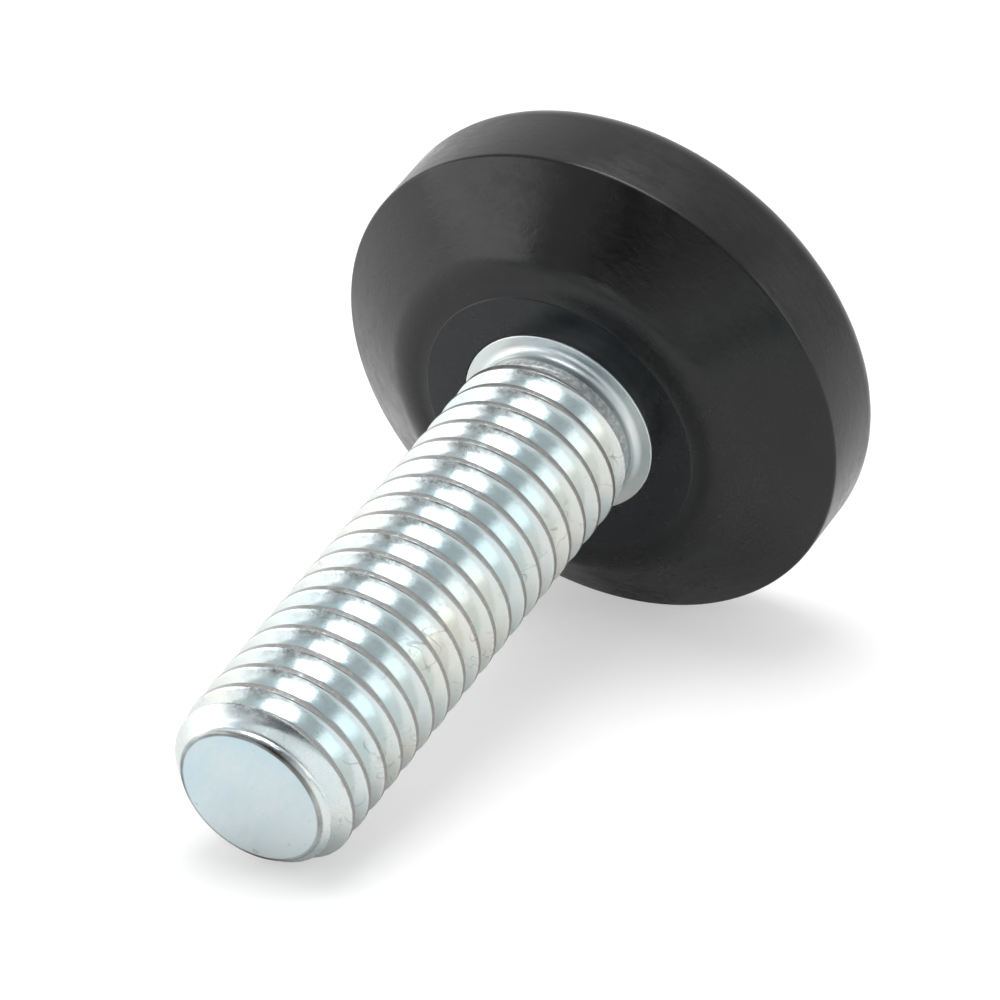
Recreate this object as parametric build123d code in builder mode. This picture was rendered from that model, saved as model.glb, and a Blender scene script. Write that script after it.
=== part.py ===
from build123d import *
from build123d.topology import SkipClean
import os
from math import atan2, cos, degrees, radians, tan

# Threaded furniture glide standing on its sole: the sole lies at Z 0 and the stud's axis is +Z.

# thread of the stud
thread_pitch = 1.25
crest_radius = 3.95
crest_width = 0.28
flank_half_angle = 30.0
crest_height_at_x = 0.752
runout_turns = 0.6
groove_overcut = 0.08
first_joint_angle = 13.0
joint_planes = 3

# shank of the stud
total_height = 31.7
end_face_radius = 3.08
end_edge_bevel = 0.1
thread_top = 30.69
thread_bottom = 8.32
neck_radius = 3.55
neck_flare = 0.35
collar_radius = 4.34
collar_rise = 0.1

# anchoring head of the stud, held inside the foot
head_across_flats = 13.0
head_bottom = 2.0
head_top = 5.0

# moulded foot
rim_radius = 11.3
rim_height = 4.05
rim_edge_bevel = 0.15
sole_edge = 1.1
plateau_height = 6.7
plateau_radius = 7.4
plateau_blend = 2.4
ring_radius = 6.13
ring_step = 0.05

# sizes that follow from those above
flank_slope = tan(radians(flank_half_angle))
groove_half = (thread_pitch - crest_width) / 2
groove_depth = groove_half / flank_slope
groove_outer_half = groove_half + groove_overcut * flank_slope
groove_turns = 20
groove_start = crest_height_at_x + 6 * thread_pitch
groove_end = groove_start + groove_turns * thread_pitch
runout_drop = runout_turns * thread_pitch
runout_angle = degrees(atan2(groove_depth + groove_overcut, runout_drop))
collar_face = plateau_height + collar_rise
neck_low = collar_face - 0.5
waste = 1.0
turning_radius = collar_radius + 2 * waste
nose_slope = (crest_radius - end_face_radius) / (total_height - thread_top)
sole_edge_middle = sole_edge * (1 - cos(radians(45)))

# Section of the groove: X is measured outward from the crest, Y along the groove's width.
groove_section = (
    (-groove_depth, 0),
    (groove_overcut, -groove_outer_half),
    (groove_overcut, groove_outer_half),
)

# Groove at full depth, on a right-hand helix that runs down from beyond the end face.
with BuildPart() as groove:
    with BuildLine() as turns:
        Helix(
            pitch=thread_pitch,
            height=groove_turns * thread_pitch,
            radius=crest_radius,
            center=(0, 0, groove_end),
            direction=(0, 0, -1),
        )
    with BuildSketch(Plane(origin=turns.line @ 0, x_dir=(-1, 0, 0), z_dir=turns.line % 0)):
        with BuildLine():
            Polyline(*groove_section, close=True)
        make_face()
    sweep(path=turns.line, is_frenet=True)

# Run-out of the groove: the same section climbs out of the rod on a conical helix.
with BuildPart() as runout:
    with BuildLine() as climb:
        Helix(
            pitch=thread_pitch / cos(radians(runout_angle)),
            height=runout_drop,
            radius=crest_radius,
            center=(0, 0, groove_start),
            direction=(0, 0, -1),
            cone_angle=runout_angle,
        )
    with BuildSketch(Plane(origin=climb.line @ 0, x_dir=(-1, 0, 0), z_dir=climb.line % 0)):
        with BuildLine():
            Polyline(*groove_section, close=True)
        make_face()
    sweep(path=climb.line, is_frenet=True)

# The groove is cut in a plain rod, longer than the shank.
with BuildPart() as rod:
    with Locations((0, 0, neck_low)):
        Cylinder(
            radius=crest_radius,
            height=total_height + waste - neck_low,
            align=(Align.CENTER, Align.CENTER, Align.MIN),
        )
    add(groove.part, mode=Mode.SUBTRACT)
    add(runout.part, mode=Mode.SUBTRACT)

# The rod is divided round its axis and joined again, which leaves the crest as short arcs.
pieces = [rod.part]
for k in range(joint_planes):
    joint = Plane(origin=(0, 0, 0), z_dir=(1, 0, 0)).rotated((0, 0, first_joint_angle + 180 / joint_planes * k))
    pieces = [half for piece in pieces for half in piece.split(joint, keep=Keep.ALL).solids()]

with BuildPart() as stud, SkipClean():
    add(pieces)
    with Locations((0, 0, head_top)):
        Cylinder(
            radius=collar_radius + waste,
            height=collar_face + neck_flare - head_top,
            align=(Align.CENTER, Align.CENTER, Align.MIN),
        )

    # end face, nose, neck and collar are turned in one cut
    with BuildSketch(Plane.XZ):
        with BuildLine():
            Polyline(
                (0, total_height),
                (end_face_radius - end_edge_bevel, total_height),
                (end_face_radius + end_edge_bevel * nose_slope, total_height - end_edge_bevel),
                (crest_radius, thread_top),
                (turning_radius, thread_top),
                (turning_radius, total_height + 2 * waste),
                (0, total_height + 2 * waste),
                close=True,
            )
        make_face()
        with BuildLine():
            Polyline(
                (turning_radius, thread_bottom),
                (crest_radius, thread_bottom),
                (neck_radius, thread_bottom - (crest_radius - neck_radius)),
                (neck_radius, collar_face + neck_flare),
                (neck_radius + neck_flare, collar_face),
                (collar_radius, collar_face),
                (collar_radius, head_top - waste),
                (turning_radius, head_top - waste),
                close=True,
            )
        make_face()
    revolve(axis=Axis.Z, mode=Mode.SUBTRACT)

    # hexagonal head that keeps the stud from turning or pulling out
    with BuildSketch(Plane.XY.offset(head_bottom)):
        RegularPolygon(radius=head_across_flats / 2, side_count=6, major_radius=False)
    extrude(amount=head_top - head_bottom)
    stud.part.label = "stud"

# Everything of the stud that lies below the face of its collar.
with BuildPart() as socket:
    with BuildSketch(Plane.XY.offset(head_bottom)):
        RegularPolygon(radius=head_across_flats / 2, side_count=6, major_radius=False)
    extrude(amount=head_top - head_bottom)
    with Locations((0, 0, head_top)):
        Cylinder(
            radius=collar_radius,
            height=collar_face + waste - head_top,
            align=(Align.CENTER, Align.CENTER, Align.MIN),
        )

# The foot is moulded round the head and the collar.
with BuildPart() as foot:
    with BuildSketch(Plane.XZ) as half_section:
        with BuildLine():
            Polyline(
                (0, 0),
                (rim_radius - sole_edge, 0),
                (rim_radius - sole_edge_middle, sole_edge_middle),
                (rim_radius, sole_edge),
                (rim_radius, rim_height),
                (plateau_radius, plateau_height),
                (0, plateau_height),
                close=True,
            )
        make_face()
        corners = half_section.vertices()
        chamfer(corners.sort_by_distance((rim_radius, rim_height))[0], length=rim_edge_bevel)
        corners = half_section.vertices()
        fillet(corners.sort_by_distance((plateau_radius, plateau_height))[0], radius=plateau_blend)
    revolve(axis=Axis.Z)

    # faintly raised ring of the plateau round the collar
    with Locations((0, 0, plateau_height)):
        Cylinder(
            radius=ring_radius,
            height=ring_step,
            align=(Align.CENTER, Align.CENTER, Align.MIN),
        )
    add(socket.part, mode=Mode.SUBTRACT)
    foot.part.label = "foot"

os.makedirs("parts", exist_ok=True)
export_step(stud.part, "parts/stud.step")
export_step(foot.part, "parts/foot.step")
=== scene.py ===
import math

import bmesh
import bpy
from mathutils import Matrix, Vector


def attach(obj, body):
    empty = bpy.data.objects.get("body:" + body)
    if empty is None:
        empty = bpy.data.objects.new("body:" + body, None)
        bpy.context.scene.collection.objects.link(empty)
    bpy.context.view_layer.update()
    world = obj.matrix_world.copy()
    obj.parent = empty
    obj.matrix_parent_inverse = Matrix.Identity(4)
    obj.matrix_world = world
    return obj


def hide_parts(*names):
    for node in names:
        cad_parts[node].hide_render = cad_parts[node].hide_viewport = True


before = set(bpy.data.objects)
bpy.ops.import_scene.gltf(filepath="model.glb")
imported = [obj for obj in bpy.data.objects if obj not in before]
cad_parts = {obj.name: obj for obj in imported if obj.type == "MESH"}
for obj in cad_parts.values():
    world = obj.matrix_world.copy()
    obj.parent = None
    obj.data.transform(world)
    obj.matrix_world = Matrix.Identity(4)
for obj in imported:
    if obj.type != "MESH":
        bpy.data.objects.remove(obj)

bl_info = {
    "name": "Threaded furniture glide",
    "version": (1, 0, 0),
    "blender": (4, 5, 0),
    "location": "3D View > Sidebar > Glide",
    "description": "Looks of a threaded furniture glide, built on its packed model",
    "category": "Object",
}

MM = 0.001
# vertices nearer than this are joined, and edges that turn more than this are shaded sharp
WELD = 0.0002 * MM
SHARP_ANGLE = math.radians(50)
# how far a vertex may lie from the level of its loop
LEVEL = 0.0001 * MM
# width over which the thread blends into the turned shape of the rod
BLEND = 0.05 * MM

# colours of the plating, from the plain flanks to the marks on them, with painted reflections and
# painted shade among them
WARM_PLATING = (0.785, 0.79, 0.742)
PAINTED_BLUE_REFLECTION = (0.69, 0.785, 0.82)
SPECK = (0.42, 0.44, 0.46)
STAIN = (0.19, 0.185, 0.17)
PAINTED_DARK_REFLECTION = (0.21, 0.225, 0.22)
CREST_PALE = (0.42, 0.405, 0.388)
PAINTED_CREST_SHADE = (0.13, 0.123, 0.117)
BAND_GREY = (0.60, 0.61, 0.61)
BAND_PALE = (0.95, 0.96, 0.96)
PAINTED_NECK_SHADE = (0.05, 0.05, 0.052)
FACE_BLUE = (0.60, 0.745, 0.81)
FACE_PALE = (0.73, 0.80, 0.81)
FRECKLE = (0.38, 0.40, 0.40)
END_LINE = (0.10, 0.08, 0.066)
# colours of the plastic
PLASTIC_PALE = (0.008, 0.0082, 0.0088)
PLASTIC_BLUE = (0.006, 0.0085, 0.0115)
# colours of the stage
FLOOR_WHITE = (0.84, 0.84, 0.84)
FLOOR_SEEN = (0.60, 0.60, 0.60)
STRIP_GREY = (0.44, 0.55, 0.53)
CARD_WHITE = (1.0, 1.0, 1.0)
# metres that the brighter part of the floor shifts back for each metre to the right
LEFT_SLANT = 0.577


class GlideStudSettings(bpy.types.PropertyGroup):
    """Sizes of the threaded stud"""

    pitch: bpy.props.FloatProperty(
        name="Pitch", description="Rise of the thread in one turn", default=1.25 * MM,
        unit="LENGTH", precision=5)
    crest_radius: bpy.props.FloatProperty(
        name="Crest radius", description="Outer radius of the thread", default=3.95 * MM,
        unit="LENGTH", precision=5)
    crest_width: bpy.props.FloatProperty(
        name="Crest width", description="Width of the flat crest", default=0.22 * MM,
        unit="LENGTH", precision=5)
    crest_rounding: bpy.props.FloatProperty(
        name="Crest rounding", description="Width of the worn corner beside the crest",
        default=0.06 * MM, unit="LENGTH", precision=5)
    depth: bpy.props.FloatProperty(
        name="Thread depth", description="From the crest to the root", default=0.767 * MM,
        unit="LENGTH", precision=5)
    flank_angle: bpy.props.FloatProperty(
        name="Flank angle", description="Angle of each flank to the cross-section",
        default=math.radians(30), subtype="ANGLE")
    first_crest: bpy.props.FloatProperty(
        name="First crest", description="Height of a crest on the +X side", default=0.752 * MM,
        unit="LENGTH", precision=5)
    runout_turn: bpy.props.FloatProperty(
        name="Run-out turn", description="Turn at which the groove has reached its full depth",
        default=6.2)
    runout_turns: bpy.props.FloatProperty(
        name="Run-out length", description="Turns over which the groove climbs out", default=1.3)
    height: bpy.props.FloatProperty(
        name="Height", description="Height of the end face above the sole", default=31.7 * MM,
        unit="LENGTH", precision=5)
    end_radius: bpy.props.FloatProperty(
        name="End radius", description="Radius of the flat end face", default=3.08 * MM,
        unit="LENGTH", precision=5)
    end_rounding: bpy.props.FloatProperty(
        name="End rounding", description="Radius of the edge round the end face",
        default=0.1 * MM, unit="LENGTH", precision=5)
    thread_top: bpy.props.FloatProperty(
        name="Thread top", description="Height at which the nose starts to taper",
        default=30.765 * MM, unit="LENGTH", precision=5)
    thread_bottom: bpy.props.FloatProperty(
        name="Thread bottom", description="Height at which the neck steps in", default=8.28 * MM,
        unit="LENGTH", precision=5)
    neck_radius: bpy.props.FloatProperty(
        name="Neck radius", description="Radius of the bare neck", default=3.56 * MM,
        unit="LENGTH", precision=5)
    neck_fillet: bpy.props.FloatProperty(
        name="Neck fillet", description="Radius between the neck and the collar",
        default=0.38 * MM, unit="LENGTH", precision=5)
    collar_radius: bpy.props.FloatProperty(
        name="Collar radius", description="Radius of the collar", default=4.32 * MM,
        unit="LENGTH", precision=5)
    collar_face: bpy.props.FloatProperty(
        name="Collar face", description="Height of the collar's face", default=6.8 * MM,
        unit="LENGTH", precision=5)
    band_foot: bpy.props.FloatProperty(
        name="Band foot", description="Height at which the rough band of the neck ends",
        default=7.37 * MM, unit="LENGTH", precision=5)
    head_radius: bpy.props.FloatProperty(
        name="Head radius", description="Radius of the head hidden in the foot", default=6.5 * MM,
        unit="LENGTH", precision=5)
    head_top: bpy.props.FloatProperty(
        name="Head top", description="Height of the upper face of the hidden head",
        default=5.0 * MM, unit="LENGTH", precision=5)
    head_bottom: bpy.props.FloatProperty(
        name="Head bottom", description="Height of the lower face of the hidden head",
        default=2.0 * MM, unit="LENGTH", precision=5)
    columns: bpy.props.IntProperty(
        name="Columns", description="Steps round one turn", default=120, min=24, max=160)


class GlideFootSettings(bpy.types.PropertyGroup):
    """Sizes of the moulded foot"""

    rim_radius: bpy.props.FloatProperty(
        name="Rim radius", description="Largest radius of the foot", default=11.3 * MM,
        unit="LENGTH", precision=5)
    rim_height: bpy.props.FloatProperty(
        name="Rim height", description="Height of the upper edge of the rim", default=4.05 * MM,
        unit="LENGTH", precision=5)
    rim_rounding: bpy.props.FloatProperty(
        name="Rim rounding", description="Radius of the upper edge of the rim", default=0.2 * MM,
        unit="LENGTH", precision=5)
    sole_rounding: bpy.props.FloatProperty(
        name="Sole rounding", description="Radius of the lower edge", default=1.1 * MM,
        unit="LENGTH", precision=5)
    plateau_height: bpy.props.FloatProperty(
        name="Plateau height", description="Height of the flat top", default=6.7 * MM,
        unit="LENGTH", precision=5)
    plateau_radius: bpy.props.FloatProperty(
        name="Plateau radius", description="Radius where the top meets the cone",
        default=7.4 * MM, unit="LENGTH", precision=5)
    plateau_blend: bpy.props.FloatProperty(
        name="Plateau blend", description="Radius between the top and the cone", default=2.4 * MM,
        unit="LENGTH", precision=5)
    ring_radius: bpy.props.FloatProperty(
        name="Ring radius", description="Radius of the faintly raised ring", default=6.13 * MM,
        unit="LENGTH", precision=5)
    ring_step: bpy.props.FloatProperty(
        name="Ring step", description="Height of the faintly raised ring", default=0.05 * MM,
        unit="LENGTH", precision=5)
    socket_radius: bpy.props.FloatProperty(
        name="Socket radius", description="Radius of the opening round the collar",
        default=4.34 * MM, unit="LENGTH", precision=5)
    columns: bpy.props.IntProperty(
        name="Columns", description="Steps round the foot", default=240, min=24, max=512)


class GlideFinishSettings(bpy.types.PropertyGroup):
    """Colours of the two materials"""

    steel: bpy.props.FloatVectorProperty(
        name="Steel", description="Colour of the plated steel", default=(0.685, 0.77, 0.775),
        size=3, subtype="COLOR", min=0, max=1)
    tarnish: bpy.props.FloatVectorProperty(
        name="Tarnish", description="Colour of the worn crests", default=(0.13, 0.118, 0.108),
        size=3, subtype="COLOR", min=0, max=1)
    plastic: bpy.props.FloatVectorProperty(
        name="Plastic", description="Colour of the moulded foot",
        default=(0.0048, 0.0050, 0.0055), size=3, subtype="COLOR", min=0, max=1)


class GlideStageSettings(bpy.types.PropertyGroup):
    """Levels of the light and the size of the floor"""

    world_level: bpy.props.FloatProperty(
        name="World", description="Level of the even light from all round", default=0.58)
    back_level: bpy.props.FloatProperty(
        name="Back", description="Level that the even light gains behind the object",
        default=0.45)
    key_level: bpy.props.FloatProperty(
        name="Key", description="Level of the square light overhead", default=4.6)
    side_level: bpy.props.FloatProperty(
        name="Left", description="Level of the low light at the left", default=1.7)
    right_level: bpy.props.FloatProperty(
        name="Right", description="Level of the light on the right", default=1.3)
    front_level: bpy.props.FloatProperty(
        name="Front", description="Level of the small low light in front on the left",
        default=1.3)
    card_level: bpy.props.FloatProperty(
        name="Card", description="Level of the two dark cards in front on the left", default=0.06)
    floor_lift: bpy.props.FloatProperty(
        name="Floor lift", description="Evens the white of the floor as the camera sees it",
        default=0.43)
    left_lift: bpy.props.FloatProperty(
        name="Left lift", description="Brightness that reflections of the floor gain on the left",
        default=0.3)
    floor_size: bpy.props.FloatProperty(
        name="Floor", description="Width of the floor", default=1.6, unit="LENGTH")


def arc(cx, cz, radius, start, end, steps):
    """Points of an arc in the XZ plane, from one angle to another in degrees, both included"""
    out = []
    for k in range(steps + 1):
        a = math.radians(start + (end - start) * k / steps)
        out.append((cx + radius * math.cos(a), cz + radius * math.sin(a)))
    return out


def new_object(name, bm):
    """A closed, smooth-shaded object with outward normals, sharp where its faces turn far"""
    open_edges = [e for e in bm.edges if not e.is_manifold]
    if open_edges:
        raise RuntimeError(f"{name} has {len(open_edges)} open edges")
    bmesh.ops.recalc_face_normals(bm, faces=bm.faces)
    for f in bm.faces:
        f.smooth = True
    for e in bm.edges:
        if e.calc_face_angle(0.0) > SHARP_ANGLE:
            e.smooth = False
    mesh = bpy.data.meshes.new(name)
    bm.to_mesh(mesh)
    bm.free()
    obj = bpy.data.objects.new(name, mesh)
    bpy.context.scene.collection.objects.link(obj)
    return obj


class Graph:
    """Adds nodes to a tree and joins them"""

    def __init__(self, tree):
        self.tree = tree
        tree.nodes.clear()

    def add(self, kind, **values):
        """A new node with the given settings"""
        node = self.tree.nodes.new(kind)
        for key, value in values.items():
            setattr(node, key, value)
        return node

    def put(self, socket, value):
        """Joins an output to a socket, or sets the socket's own value"""
        if isinstance(value, bpy.types.NodeSocket):
            self.tree.links.new(value, socket)
        else:
            socket.default_value = value

    def math(self, operation, a, b=0.0, clamp=False):
        node = self.add("ShaderNodeMath", operation=operation, use_clamp=clamp)
        self.put(node.inputs[0], a)
        self.put(node.inputs[1], b)
        return node.outputs[0]

    def product(self, first, *others):
        """The values multiplied together"""
        for value in others:
            first = self.math("MULTIPLY", first, value)
        return first

    def ramp(self, value, low, high, to_low=0.0, to_high=1.0):
        """A value mapped from one range to another, and held at both ends"""
        node = self.add("ShaderNodeMapRange", clamp=True)
        for socket, v in zip(node.inputs[:5], (value, low, high, to_low, to_high)):
            self.put(socket, v)
        return node.outputs[0]

    def window(self, value, start, full, fade, gone):
        """One between the two middle values, falling to zero at the outer two"""
        return self.product(self.ramp(value, start, full), self.ramp(value, gone, fade))

    def mix(self, factor, a, b):
        """A blend of two colours, each an output or three numbers"""
        node = self.add("ShaderNodeMix", data_type="RGBA")
        self.put(node.inputs["Factor"], factor)
        colours = [socket for socket in node.inputs if socket.type == "RGBA"]
        for socket, value in zip(colours, (a, b)):
            self.put(socket, value if isinstance(value, bpy.types.NodeSocket) else (*value, 1.0))
        return [socket for socket in node.outputs if socket.type == "RGBA"][0]

    def noise(self, vector, scale, detail=2.0, roughness=0.5, distortion=0.0):
        node = self.add("ShaderNodeTexNoise")
        self.put(node.inputs["Vector"], vector)
        self.put(node.inputs["Scale"], scale)
        self.put(node.inputs["Detail"], detail)
        self.put(node.inputs["Roughness"], roughness)
        self.put(node.inputs["Distortion"], distortion)
        return node.outputs["Fac"]

    def stretched(self, vector, scale):
        node = self.add("ShaderNodeMapping")
        self.put(node.inputs["Vector"], vector)
        node.inputs["Scale"].default_value = scale
        return node.outputs[0]

    def object_coordinates(self):
        """Object coordinates as a vector, with x, y, z and the distance from the axis"""
        coord = self.add("ShaderNodeTexCoord").outputs["Object"]
        split = self.add("ShaderNodeSeparateXYZ")
        self.put(split.inputs[0], coord)
        x, y, z = split.outputs
        squares = self.math("ADD", self.math("MULTIPLY", x, x), self.math("MULTIPLY", y, y))
        return coord, x, y, z, self.math("SQRT", squares)

    def bump(self, height, strength, distance):
        node = self.add("ShaderNodeBump")
        self.put(node.inputs["Strength"], strength)
        self.put(node.inputs["Distance"], distance)
        self.put(node.inputs["Height"], height)
        return node.outputs[0]

    def choose(self, factor, a, b):
        """The shader a where the factor is 0, and b where it is 1"""
        node = self.add("ShaderNodeMixShader")
        for socket, value in zip(node.inputs, (factor, a, b)):
            self.put(socket, value)
        return node.outputs[0]

    def finish(self, shader, kind="ShaderNodeOutputMaterial"):
        """Joins a shader to the tree's output"""
        self.put(self.add(kind).inputs["Surface"], shader)


def node_material(name):
    """A material and the graph that fills its empty node tree"""
    mat = bpy.data.materials.new(name)
    mat.use_nodes = True
    return mat, Graph(mat.node_tree)


def steel_material(finish, stud):
    """Bright plated steel: worn crests, a rough neck, and an end face with a dark edge, with
    painted reflections on the thread, painted shade and a painted highlight on the crests, and
    painted shade round the neck
    """
    mat, g = node_material("zinc_plated_steel")
    coord, x, y, z, radius = g.object_coordinates()
    side = g.math("ARCTAN2", y, x)

    def round_side(start, full, fade, gone):
        """A window on the bearing round the axis, in degrees from +X"""
        return g.window(side, *(math.radians(a) for a in (start, full, fade, gone)))

    cloud = g.noise(coord, 260.0, 3.0, 0.55)
    grain = g.noise(coord, 5200.0, 3.0, 0.6)
    fine = g.noise(coord, 14000.0, 2.0, 0.6)
    speck = g.ramp(g.noise(coord, 3300.0, 2.0, 0.5), 0.66, 0.72)

    # crests, by radius, broken up by grain, and paled round on the left by a painted highlight
    on_shank = g.ramp(z, stud.thread_bottom - 0.1 * MM, stud.thread_bottom)
    below_nose = g.ramp(z, stud.thread_top + 0.10 * MM, stud.thread_top + 0.02 * MM)
    edge = g.math("ADD", radius, g.math("MULTIPLY", g.math("SUBTRACT", grain, 0.5), 0.04 * MM))
    outermost = g.ramp(edge, stud.crest_radius - 0.035 * MM, stud.crest_radius - 0.012 * MM)
    painted_crest_highlight = g.ramp(side, math.radians(64), math.radians(44), 0.62, 1.0)
    crest = g.product(outermost, on_shank, below_nose, painted_crest_highlight)

    # thin curled marks on the right, and small stains beside the crests
    warp = g.noise(coord, 620.0, 1.0, 0.5, 1.2)
    curl = g.ramp(g.math("ABSOLUTE", g.math("SUBTRACT", warp, 0.5)), 0.012, 0.004)
    patch = g.ramp(g.noise(g.stretched(coord, (1.0, 1.0, 0.6)), 430.0, 2.0, 0.6), 0.54, 0.62)
    curls = g.product(curl, patch, round_side(-100, -84, -22, -6))
    stain = g.ramp(g.noise(coord, 1500.0, 3.0, 0.65), 0.62, 0.70)
    near_crest = g.ramp(radius, stud.crest_radius - 0.30 * MM, stud.crest_radius - 0.05 * MM)
    stains = g.product(stain, near_crest, 0.55)
    marks = g.product(g.math("ADD", curls, stains, clamp=True), on_shank)

    # painted dark reflections beside the crests on the upper left
    blotch = g.ramp(g.noise(g.stretched(coord, (1.0, 1.0, 2.2)), 2200.0, 4.0, 0.7), 0.42, 0.58)
    beside = g.ramp(radius, stud.crest_radius - 0.40 * MM, stud.crest_radius - 0.14 * MM)
    painted_dark_reflection = g.product(blotch, beside, round_side(8, 26, 44, 60), on_shank)

    # rough band of the neck, and a ring of painted shade below it
    foot = stud.band_foot
    step = stud.thread_bottom
    band = g.window(z, foot - 0.04 * MM, foot + 0.05 * MM, step - 0.15 * MM, step + 0.05 * MM)
    painted_neck_shade = g.window(z, foot - 0.27 * MM, foot - 0.19 * MM, foot - 0.03 * MM, foot + 0.03 * MM)

    # end face, and the brown line round it
    on_end = g.ramp(z, stud.height - 0.02 * MM, stud.height - 0.004 * MM)
    end_line = g.product(
        g.ramp(radius, stud.end_radius - 0.13 * MM, stud.end_radius - 0.07 * MM),
        g.ramp(z, stud.height - 0.13 * MM, stud.height - 0.07 * MM),
        g.ramp(cloud, 0.40, 0.60, 0.40, 0.92),
    )
    smear = g.noise(g.stretched(coord, (1.0, 2.6, 1.0)), 700.0, 4.0, 0.65, 0.8)
    freckle = g.ramp(g.noise(coord, 2300.0, 2.0, 0.5), 0.70, 0.76)
    broad = g.math("ADD", g.product(g.noise(coord, 150.0, 2.0, 0.5), 0.7), g.product(smear, 0.3))
    face = g.mix(g.ramp(broad, 0.40, 0.60), FACE_BLUE, FACE_PALE)
    face = g.mix(g.product(freckle, 0.4), face, FRECKLE)

    plating = g.mix(g.ramp(cloud, 0.38, 0.62), finish.steel, WARM_PLATING)
    # painted bluish reflection on the front of the thread, between -32 and 66 degrees
    plating = g.mix(g.product(round_side(-32, -8, 46, 66), 0.7), plating, PAINTED_BLUE_REFLECTION)
    plating = g.mix(g.product(speck, 0.25), plating, SPECK)
    plating = g.mix(g.product(marks, 0.5), plating, STAIN)
    # painted dark reflection beside the crests on the upper left
    plating = g.mix(g.product(painted_dark_reflection, 0.62), plating, PAINTED_DARK_REFLECTION)
    worn = g.mix(g.ramp(grain, 0.36, 0.66), finish.tarnish, CREST_PALE)
    # painted shade on the crests between 0 and 46 degrees, where they would mirror the light
    # overhead
    worn = g.mix(g.product(round_side(0, 12, 34, 46), 0.5), worn, PAINTED_CREST_SHADE)
    scuffed = g.mix(g.ramp(grain, 0.42, 0.62), BAND_GREY, BAND_PALE)
    colour = g.mix(g.product(crest, 0.95), plating, worn)
    colour = g.mix(g.product(band, 0.8), colour, scuffed)
    # painted shade round the neck, between the fillet and the rough band
    colour = g.mix(g.product(painted_neck_shade, 0.5), colour, PAINTED_NECK_SHADE)
    colour = g.mix(g.product(on_end, 0.9), colour, face)
    colour = g.mix(end_line, colour, END_LINE)

    rough = g.ramp(grain, 0.3, 0.7, 0.15, 0.24)
    rougher = (
        g.product(crest, 0.34),
        g.product(band, 0.3),
        g.ramp(z, foot - 0.01 * MM, foot - 0.09 * MM, 0.0, 0.16),
        g.ramp(z, stud.thread_top - 0.05 * MM, stud.thread_top + 0.15 * MM, 0.0, 0.10),
    )
    for extra in rougher:
        rough = g.math("ADD", rough, extra)
    rough = g.math("ADD", rough, g.product(on_end, 0.25), clamp=True)

    relief = g.math("ADD", g.product(grain, 0.5), g.product(fine, 0.25))
    relief = g.math("ADD", relief, g.product(cloud, 3.0))
    strength = g.math("ADD", 0.10, g.product(g.math("ADD", crest, band, clamp=True), 0.35))

    shader = g.add("ShaderNodeBsdfPrincipled")
    g.put(shader.inputs["Base Color"], colour)
    shader.inputs["Metallic"].default_value = 1.0
    g.put(shader.inputs["Roughness"], rough)
    g.put(shader.inputs["Normal"], g.bump(relief, strength, 0.03 * MM))
    g.finish(shader.outputs[0])
    return mat


def plastic_material(finish, foot):
    """Black moulded plastic, a little mottled, with a satin skin"""
    mat, g = node_material("black_plastic")
    coord, _, _, z, radius = g.object_coordinates()

    cloud = g.noise(coord, 300.0, 4.0, 0.6)
    grain = g.noise(coord, 6000.0, 2.0, 0.6)
    streak = g.noise(g.stretched(coord, (1.0, 1.0, 3.0)), 900.0, 4.0, 0.65, 0.6)
    mottle = g.math("ADD", g.product(cloud, 0.5), g.product(streak, 0.5))
    inside_ring = g.product(
        g.ramp(radius, foot.ring_radius, foot.ring_radius - 0.05 * MM),
        g.ramp(z, foot.plateau_height - 0.1 * MM, foot.plateau_height),
    )
    colour = g.mix(g.ramp(cloud, 0.35, 0.65), finish.plastic, PLASTIC_PALE)
    colour = g.mix(g.product(inside_ring, 0.7), colour, PLASTIC_BLUE)
    relief = g.math("ADD", g.product(mottle, 3.0), g.product(grain, 0.35))

    shader = g.add("ShaderNodeBsdfPrincipled")
    g.put(shader.inputs["Base Color"], colour)
    g.put(shader.inputs["Roughness"], g.ramp(mottle, 0.38, 0.62, 0.16, 0.33))
    shader.inputs["IOR"].default_value = 1.44
    g.put(shader.inputs["Normal"], g.bump(relief, 0.16, 0.05 * MM))
    g.finish(shader.outputs[0])
    return mat


def floor_material(s):
    """White floor, which rays from below pass through"""
    mat, g = node_material("floor_white")
    rays = g.add("ShaderNodeLightPath").outputs
    seen, mirrored = rays["Is Camera Ray"], rays["Is Glossy Ray"]
    where = g.add("ShaderNodeTexCoord").outputs["Object"]
    split = g.add("ShaderNodeSeparateXYZ")
    g.put(split.inputs[0], where)
    x, y, _ = split.outputs

    # seen by the camera, part of the white is even, which keeps the shadow light;
    # far from the object, past the picture, the even white takes over from the lamps
    span = g.add("ShaderNodeVectorMath", operation="LENGTH")
    g.put(span.inputs[0], where)
    evened = g.product(seen, g.ramp(span.outputs["Value"], 0.06, 0.25, s.floor_lift, 1.0))
    # reflections of the floor are brighter on the left
    sideways = g.math("SUBTRACT", y, g.math("MULTIPLY", x, LEFT_SLANT))
    left = g.product(g.ramp(x, -0.03, -0.08), g.ramp(sideways, -0.025, 0.02))
    lifted = g.product(mirrored, left, s.left_lift)

    white = g.add("ShaderNodeBsdfDiffuse")
    g.put(white.inputs["Color"], g.mix(seen, FLOOR_WHITE, FLOOR_SEEN))
    even = g.add("ShaderNodeEmission")
    g.put(even.inputs["Strength"], g.math("ADD", evened, lifted))
    both = g.add("ShaderNodeAddShader")
    g.put(both.inputs[0], white.outputs[0])
    g.put(both.inputs[1], even.outputs[0])
    clear = g.add("ShaderNodeBsdfTransparent").outputs[0]
    below = g.add("ShaderNodeNewGeometry").outputs["Backfacing"]
    g.finish(g.choose(below, both.outputs[0], clear))
    return mat


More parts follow.
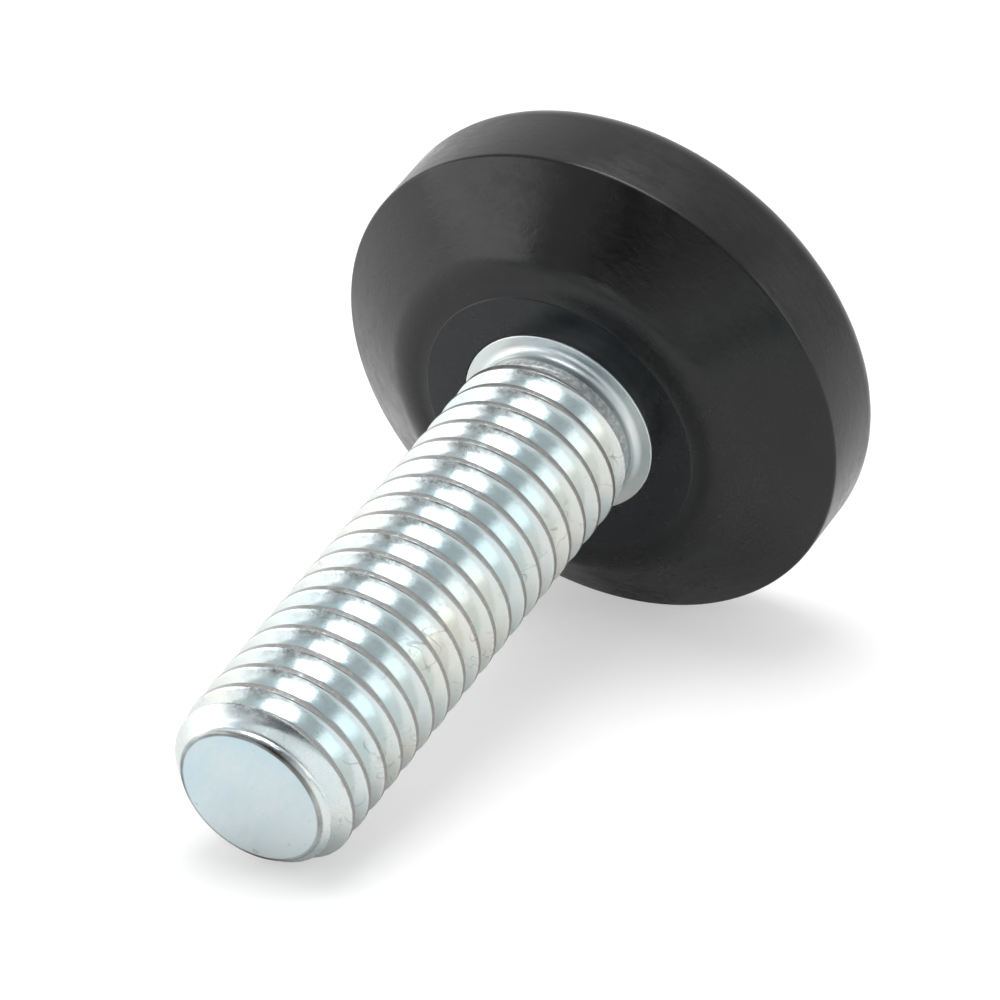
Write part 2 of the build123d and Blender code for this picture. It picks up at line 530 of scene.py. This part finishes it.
def reflected_material(name, colour, strength):
    """An even colour that shows in reflections alone"""
    mat, g = node_material(name)
    glow = g.add("ShaderNodeEmission")
    glow.inputs["Color"].default_value = (*colour, 1.0)
    glow.inputs["Strength"].default_value = strength
    clear = g.add("ShaderNodeBsdfTransparent").outputs[0]
    mirrored = g.add("ShaderNodeLightPath").outputs["Is Glossy Ray"]
    g.finish(g.choose(mirrored, clear, glow.outputs[0]))
    return mat


def studio_world(s, front):
    """Even light, brighter behind the object, and plain white as the camera sees it"""
    world = bpy.data.worlds.new("studio")
    world.use_nodes = True
    g = Graph(world.node_tree)
    ahead = g.add("ShaderNodeVectorMath", operation="DOT_PRODUCT")
    g.put(ahead.inputs[0], g.add("ShaderNodeTexCoord").outputs["Generated"])
    ahead.inputs[1].default_value = front
    room = g.ramp(ahead.outputs["Value"], 0.0, -0.7, s.world_level, s.world_level + s.back_level)
    seen = g.add("ShaderNodeLightPath").outputs["Is Camera Ray"]
    background = g.add("ShaderNodeBackground")
    background.inputs["Color"].default_value = (1.0, 1.0, 1.0, 1.0)
    level = g.math("ADD", g.product(seen, g.math("SUBTRACT", 1.0, room)), room)
    g.put(background.inputs["Strength"], level)
    g.finish(background.outputs[0], "ShaderNodeOutputWorld")
    return world


def thread_profile(s):
    """Height and depth of half a pitch of the thread, from mid-crest to mid-root"""
    slope = math.tan(s.flank_angle)
    half = s.pitch / 2
    corner = s.crest_width / 2
    soft = s.crest_rounding
    points = [(0.0, 0.0), (corner * 0.55, 0.0)]
    # worn corner of the crest: from the flat to the flank along a parabola
    for k in range(5):
        t = k / 4
        a = Vector((max(corner - soft, corner * 0.6), 0.0))
        b = Vector((corner, 0.0))
        c = Vector((corner + soft * 0.5, soft * 0.5 / slope))
        p = a * (1 - t) ** 2 + b * 2 * t * (1 - t) + c * t * t
        points.append((p.x, p.y))
    root = s.depth
    root_rounding = 0.10 * MM
    foot_of_flank = corner + (root - root_rounding) * slope
    start = corner + soft * 0.5
    for k in range(1, 8):
        h = start + (foot_of_flank - start) * k / 7
        points.append((h, (h - corner) / slope))
    # rounded root
    last = Vector(points[-1])
    knee = Vector((corner + root * slope, root))
    end = Vector((half, root))
    for k in range(1, 5):
        t = k / 4
        p = last * (1 - t) ** 2 + knee * 2 * t * (1 - t) + end * t * t
        points.append((p.x, p.y))
    return points


def envelope(s, z):
    """Largest radius that the turned shape allows at a height"""
    taper = (s.end_radius - s.crest_radius) / (s.height - s.thread_top)
    nose = s.crest_radius + taper * (z - s.thread_top)
    neck_top = s.thread_bottom - (s.crest_radius - s.neck_radius)
    neck = s.neck_radius + max(z - neck_top, 0.0)
    return min(s.crest_radius, nose, neck)


def soft_min(a, b, width):
    """The smaller of two values, rounded where they are about equal"""
    if abs(a - b) >= width:
        return min(a, b)
    t = (width - abs(a - b)) / width
    return min(a, b) - t * t * width / 4


def loop_at(bm, z):
    """The open edges that lie at a height"""
    def level(edge):
        return all(abs(v.co.z - z) < LEVEL for v in edge.verts)

    return [e for e in bm.edges if e.is_boundary and level(e)]


def grow(bm, loop, rings):
    """Extrudes a round loop of edges through rings, each a radius and a height"""
    for radius, z in rings:
        made = bmesh.ops.extrude_edge_only(bm, edges=loop)["geom"]
        verts = [v for v in made if isinstance(v, bmesh.types.BMVert)]
        for v in verts:
            flat = Vector((v.co.x, v.co.y))
            flat = flat.normalized() * radius
            v.co = (flat.x, flat.y, z)
        moved = set(verts)
        loop = [e for e in made if isinstance(e, bmesh.types.BMEdge) and moved.issuperset(e.verts)]
    return loop


def close(bm, loop, z):
    """Closes a round loop of edges by a fan to a point on the axis"""
    made = bmesh.ops.extrude_edge_only(bm, edges=loop)["geom"]
    verts = [v for v in made if isinstance(v, bmesh.types.BMVert)]
    bmesh.ops.pointmerge(bm, verts=verts, merge_co=(0, 0, z))


def build_stud(s):
    """The stud as one mesh: a helical grid, cut level at both ends and closed by rings"""
    half = thread_profile(s)
    phases = [(-h, d) for h, d in reversed(half[1:-1])] + half
    # the crests on the +X side, from below the neck to above the end face
    first, last = 4, 25
    bm = bmesh.new()
    depth_layer = bm.verts.layers.float.new("depth")
    verts = []
    for n in range(first, last + 1):
        for h, d in phases:
            v = bm.verts.new((s.crest_radius, 0.0, s.first_crest + n * s.pitch + h))
            v[depth_layer] = d
            verts.append(v)
    edges = [bm.edges.new(pair) for pair in zip(verts, verts[1:])]
    bmesh.ops.spin(
        bm,
        geom=verts + edges,
        cent=(0, 0, 0),
        axis=(0, 0, 1),
        dvec=(0, 0, s.pitch / s.columns),
        angle=math.tau,
        steps=s.columns,
        use_duplicate=False,
    )
    bmesh.ops.remove_doubles(bm, verts=bm.verts, dist=WELD)

    # each vertex is moved to the radius of the thread, its run-out, the neck or the nose
    for v in bm.verts:
        z = v.co.z
        share = math.atan2(v.co.y, v.co.x) % math.tau / math.tau
        offset = (z - s.first_crest) / s.pitch - share
        groove_turn = math.floor(offset) + 0.5 + share
        climb = (groove_turn - s.runout_turn) / s.runout_turns
        factor = min(max(climb + 1.0, 0.0), 1.0)
        depth = v[depth_layer]
        if factor < 1.0:
            # a groove that climbs out is both shallower and narrower
            depth = max(depth - (1.0 - factor) * s.depth, 0.0)
        wanted = soft_min(s.crest_radius - depth, envelope(s, z), BLEND)
        scale = wanted / math.hypot(v.co.x, v.co.y)
        v.co.x *= scale
        v.co.y *= scale

    # level cuts in the neck and in the rounding of the end
    low = s.band_foot + 0.08 * MM
    high = s.height - s.end_rounding * 0.75
    for z, keep_above in ((low, True), (high, False)):
        bmesh.ops.bisect_plane(
            bm,
            geom=list(bm.verts) + list(bm.edges) + list(bm.faces),
            dist=1e-9,
            plane_co=(0, 0, z),
            plane_no=(0, 0, 1),
            clear_inner=keep_above,
            clear_outer=not keep_above,
        )

    # nose edge and end face
    slope = (s.crest_radius - s.end_radius) / (s.height - s.thread_top)
    r = s.end_rounding
    turn_start = math.degrees(math.atan2(slope, 1.0))
    centre = s.end_radius - r * math.tan(math.radians((90.0 - turn_start) / 2))
    rings = arc(centre, s.height - r, r, turn_start, 90.0, 6)
    rings += [(s.end_radius * f, s.height) for f in (0.92, 0.75, 0.5, 0.25)]
    close(bm, grow(bm, loop_at(bm, high), rings), s.height)

    # neck, fillet, collar and the parts held inside the foot
    f = s.neck_fillet
    edge = 0.05 * MM
    hidden_radius = 2.0 * MM
    rings = [(s.neck_radius, low - 0.02 * MM)]
    rings += arc(s.neck_radius + f, s.collar_face + f, f, 180, 270, 8)
    rings += arc(s.collar_radius - edge, s.collar_face - edge, edge, 90, 0, 4)
    rings += [
        (s.collar_radius, s.head_top),
        (s.head_radius, s.head_top),
        (s.head_radius, s.head_bottom),
        (hidden_radius, s.head_bottom),
    ]
    close(bm, grow(bm, loop_at(bm, low), rings), s.head_bottom)
    return bm


def foot_profile(s, stud):
    """Outline of half the foot, from the axis at the sole round to the axis in the socket"""
    points = [(0.0, 0.0), (s.rim_radius * 0.5, 0.0)]
    r = s.sole_rounding
    points += arc(s.rim_radius - r, r, r, -90, 0, 14)
    # upper edge of the rim
    rise = s.plateau_height - s.rim_height
    run = s.rim_radius - s.plateau_radius
    cone = math.degrees(math.atan2(rise, run))
    turn = 90.0 - cone
    r = s.rim_rounding
    back = r * math.tan(math.radians(turn / 2))
    points += arc(s.rim_radius - r, s.rim_height - back, r, 0, turn, 7)
    # blend from the cone to the flat top
    r = s.plateau_blend
    back = r * math.tan(math.radians(cone / 2))
    points += arc(s.plateau_radius - back, s.plateau_height - r, r, turn, 90, 12)
    ring_top = s.plateau_height + s.ring_step
    # the ring's rounded step, then the mouth of the socket and the room for the head
    e = 0.03 * MM
    points += [
        (s.ring_radius + e, s.plateau_height),
        (s.ring_radius + e * 0.4, s.plateau_height + e * 0.3),
        (s.ring_radius, s.plateau_height + s.ring_step * 0.6),
        (s.ring_radius - e * 0.5, ring_top - e * 0.1),
        (s.ring_radius - e * 1.2, ring_top),
    ]
    r = 0.04 * MM
    points += [(s.socket_radius + r + 0.01 * MM, ring_top)]
    points += arc(s.socket_radius + r, ring_top - r, r, 90, 180, 3)
    gap = 0.02 * MM
    points += [
        (s.socket_radius, stud.head_top + gap),
        (stud.head_radius + gap, stud.head_top + gap),
        (stud.head_radius + gap, stud.head_bottom - gap),
        (0.0, stud.head_bottom - gap),
    ]
    return points


def build_foot(s, stud):
    """The foot as one mesh, turned from its outline"""
    bm = bmesh.new()
    verts = [bm.verts.new((x, 0.0, z)) for x, z in foot_profile(s, stud)]
    edges = [bm.edges.new(pair) for pair in zip(verts, verts[1:])]
    bmesh.ops.spin(
        bm,
        geom=verts + edges,
        cent=(0, 0, 0),
        axis=(0, 0, 1),
        angle=math.tau,
        steps=s.columns,
        use_merge=True,
    )
    bmesh.ops.remove_doubles(bm, verts=bm.verts, dist=WELD)
    return bm


class GLIDE_OT_stud(bpy.types.Operator):
    """Build the threaded stud over its CAD node"""

    bl_idname = "glide.stud"
    bl_label = "Build stud"

    def execute(self, context):
        s = context.scene.glide_stud
        obj = new_object("stud_thread", build_stud(s))
        obj.data.materials.append(steel_material(context.scene.glide_finish, s))
        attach(obj, "root")
        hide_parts("stud")
        return {"FINISHED"}


class GLIDE_OT_foot(bpy.types.Operator):
    """Build the moulded foot over its CAD node"""

    bl_idname = "glide.foot"
    bl_label = "Build foot"

    def execute(self, context):
        s = context.scene.glide_foot
        obj = new_object("foot_moulding", build_foot(s, context.scene.glide_stud))
        obj.data.materials.append(plastic_material(context.scene.glide_finish, s))
        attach(obj, "root")
        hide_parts("foot")
        return {"FINISHED"}


class GLIDE_OT_stage(bpy.types.Operator):
    """Build the floor, the lights and the camera"""

    bl_idname = "glide.stage"
    bl_label = "Build stage"

    def execute(self, context):
        scene = context.scene
        s = scene.glide_stage
        # camera: solved from the photograph
        right = Vector((0.416025, -0.772586, -0.479619))
        up = Vector((0.505460, 0.634910, -0.584294))
        back = Vector((0.755932, 0.000653, 0.654650))
        data = bpy.data.cameras.new("camera")
        data.lens = 234.0
        data.sensor_width = 36.0
        data.clip_start = 0.01
        data.clip_end = 10.0
        camera = bpy.data.objects.new("camera", data)
        turn = Matrix((right, up, back)).transposed().to_4x4()
        camera.matrix_world = Matrix.Translation((0.198055, 0.0, 0.183499)) @ turn
        scene.collection.objects.link(camera)
        scene.camera = camera

        # the object lies on its rim and its tip: floor axes in the object's frame, and the
        # point of the floor under the origin
        floor_up = Vector((0.7590, 0.5943, -0.2659)).normalized()
        floor_right = (right - right.dot(floor_up) * floor_up).normalized()
        floor_front = floor_right.cross(floor_up).normalized()
        basis = Matrix((floor_right, -floor_front, floor_up)).transposed().to_4x4()
        base = floor_up * (-11.985 * MM)
        lit_centre = Vector((0, 0, 15 * MM))

        def place(x, y, z):
            """A point of the stage: to the right, away from the camera and upward, in metres"""
            return base + floor_right * x - floor_front * y + floor_up * z

        def sheet(name, matrix, width, depth, mat):
            """A flat rectangle of the stage"""
            bm = bmesh.new()
            bmesh.ops.create_grid(bm, x_segments=1, y_segments=1, size=0.5)
            bmesh.ops.scale(bm, vec=(width, depth, 1.0), verts=bm.verts)
            mesh = bpy.data.meshes.new(name)
            bm.to_mesh(mesh)
            bm.free()
            mesh.materials.append(mat)
            obj = bpy.data.objects.new(name, mesh)
            obj.matrix_world = matrix
            scene.collection.objects.link(obj)

        def card(name, bearing, distance, width, low, high, mat):
            """An upright card at a bearing to the left of the camera's side, in degrees"""
            a = math.radians(bearing)
            centre = place(-distance * math.sin(a), -distance * math.cos(a), (low + high) / 2)
            across = (floor_right * math.cos(a) - floor_front * math.sin(a)).normalized()
            facing = across.cross(floor_up).normalized()
            turn = Matrix((across, floor_up, facing)).transposed().to_4x4()
            sheet(name, Matrix.Translation(centre) @ turn, width, high - low, mat)

        floor_matrix = Matrix.Translation(base) @ basis
        sheet("floor", floor_matrix, s.floor_size, s.floor_size, floor_material(s))
        # out of the picture: the dark line along the thread reflects a strip on the floor in
        # front, and the cone and the nose reflect two dark cards on the left
        strip_matrix = Matrix.Translation(place(-0.06, -0.073, 0.0006)) @ basis
        strip_dark = reflected_material("strip_dark", STRIP_GREY, 1.0)
        sheet("dark_strip", strip_matrix, 0.30, 0.035, strip_dark)
        card_dark = reflected_material("card_dark", CARD_WHITE, s.card_level)
        card("card_low", 52, 0.25, 0.05, 0.0008, 0.045, card_dark)
        card("card_front", 27, 0.35, 0.42, 0.055, 0.25, card_dark)

        def lamp(name, place_at, width, height, level):
            """A soft rectangular light of an even brightness, level with the floor"""
            light = bpy.data.lights.new(name, "AREA")
            light.shape = "RECTANGLE"
            light.size = width
            light.size_y = height
            light.energy = level * math.pi * width * height
            obj = bpy.data.objects.new(name, light)
            direction = (place_at - lit_centre).normalized()
            level_axis = floor_up.cross(direction).normalized()
            upper_axis = direction.cross(level_axis)
            turn = Matrix((level_axis, upper_axis, direction)).transposed().to_4x4()
            obj.matrix_world = Matrix.Translation(place_at) @ turn
            scene.collection.objects.link(obj)

        lamp("key", place(-0.01, -0.01, 0.43), 0.27, 0.27, s.key_level)
        lamp("side", place(-0.47, -0.03, 0.095), 0.45, 0.17, s.side_level)
        lamp("right", place(0.44, -0.12, 0.15), 0.30, 0.29, s.right_level)
        lamp("front", place(-0.29, -0.41, 0.024), 0.11, 0.05, s.front_level)

        scene.world = studio_world(s, floor_front)
        scene.view_settings.view_transform = "Standard"
        return {"FINISHED"}


class GLIDE_PT_panel(bpy.types.Panel):
    """Sizes, colours and build steps of the glide"""

    bl_label = "Threaded glide"
    bl_idname = "GLIDE_PT_panel"
    bl_space_type = "VIEW_3D"
    bl_region_type = "UI"
    bl_category = "Glide"

    def draw(self, context):
        layout = self.layout
        groups = (
            ("Stud", context.scene.glide_stud, "glide.stud"),
            ("Foot", context.scene.glide_foot, "glide.foot"),
            ("Finish", context.scene.glide_finish, None),
            ("Stage", context.scene.glide_stage, "glide.stage"),
        )
        for label, group, operator in groups:
            box = layout.box()
            box.label(text=label)
            for name in group.__annotations__:
                box.prop(group, name)
            if operator:
                box.operator(operator)


CLASSES = (
    GlideStudSettings,
    GlideFootSettings,
    GlideFinishSettings,
    GlideStageSettings,
    GLIDE_OT_stud,
    GLIDE_OT_foot,
    GLIDE_OT_stage,
    GLIDE_PT_panel,
)


def register():
    for c in CLASSES:
        bpy.utils.register_class(c)
    bpy.types.Scene.glide_stud = bpy.props.PointerProperty(type=GlideStudSettings)
    bpy.types.Scene.glide_foot = bpy.props.PointerProperty(type=GlideFootSettings)
    bpy.types.Scene.glide_finish = bpy.props.PointerProperty(type=GlideFinishSettings)
    bpy.types.Scene.glide_stage = bpy.props.PointerProperty(type=GlideStageSettings)


def unregister():
    del bpy.types.Scene.glide_stud
    del bpy.types.Scene.glide_foot
    del bpy.types.Scene.glide_finish
    del bpy.types.Scene.glide_stage
    for c in reversed(CLASSES):
        bpy.utils.unregister_class(c)


def main():
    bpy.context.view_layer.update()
    register()
    bpy.ops.glide.stud()
    bpy.ops.glide.foot()
    bpy.ops.glide.stage()
    bpy.context.view_layer.update()


if __name__ == "__main__":
    main()
